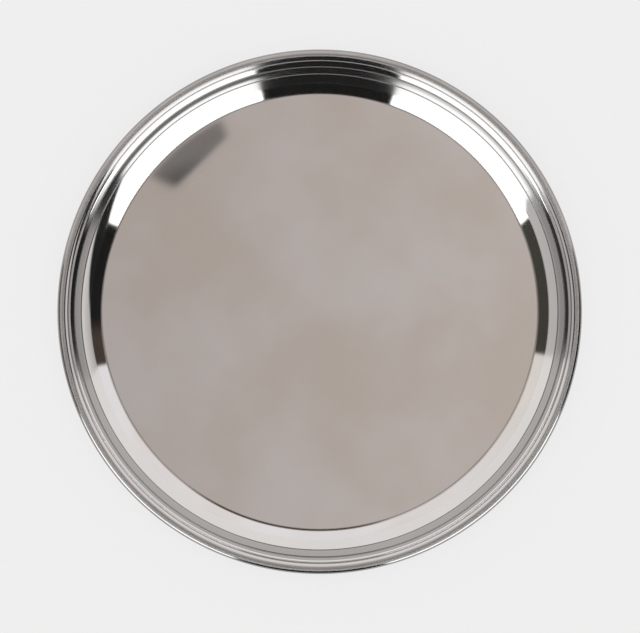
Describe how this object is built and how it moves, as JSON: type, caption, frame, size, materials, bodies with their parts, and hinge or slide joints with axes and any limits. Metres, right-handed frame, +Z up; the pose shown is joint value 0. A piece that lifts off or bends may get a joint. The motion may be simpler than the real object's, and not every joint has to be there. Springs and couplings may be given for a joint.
{
  "type": "thali plate",
  "caption": "Round shallow steel dining plate with a flat floor, steep wall, grooved stepped rim and an edge rolled over a stiffening wire.",
  "frame": {"origin": "centre of the flat resting face, on the table", "axes": "+Z up along the plate's own axis, X and Y in the table plane, +Y towards the top of the picture"},
  "size_m": [0.3, 0.3, 0.016],
  "materials": {
    "polished_sheet": "stainless sheet, buffed bright inside, satin on the bead and the underside",
    "drawn_wire": "plain drawn steel wire, dull"
  },
  "bodies": {
    "root": {"plate_pressing": "polished_sheet", "rim_wire": "drawn_wire"}
  },
  "joints": []
}
